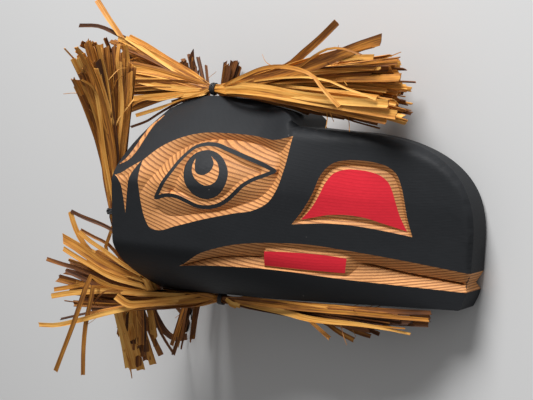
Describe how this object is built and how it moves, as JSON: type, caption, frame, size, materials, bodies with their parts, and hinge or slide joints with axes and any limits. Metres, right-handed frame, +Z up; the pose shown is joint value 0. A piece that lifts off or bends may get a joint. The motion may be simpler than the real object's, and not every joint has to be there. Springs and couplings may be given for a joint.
{
  "type": "raven mask",
  "caption": "Hollow carved cedar bird mask with a long beak, painted black with red nostrils and tongue, and tied bundles of split cedar bark, lying on its left cheek.",
  "frame": {"origin": "on the surface that the mask lies on, under the middle of its bounding box", "axes": "+X from the open rim towards the beak, level along the surface; +Y towards the crown; +Z up, through the right cheek"},
  "size_m": [0.3472, 0.2908, 0.1638],
  "materials": {
    "painted_cedar": "satin black paint on carved red cedar, bare in the carved hollows, red on nostrils and tongue",
    "cedar_bark": "dry split inner bark, golden to dark brown",
    "black_cord": "matte black twisted cord"
  },
  "bodies": {
    "root": {"carved_head": "painted_cedar", "bark_bundle_top": "cedar_bark", "bark_bundle_bottom": "cedar_bark", "bark_bundle_right": "cedar_bark", "bark_bundle_left": "cedar_bark", "tie_top": "black_cord", "tie_bottom": "black_cord", "tie_right": "black_cord", "tie_left": "black_cord"}
  },
  "joints": []
}
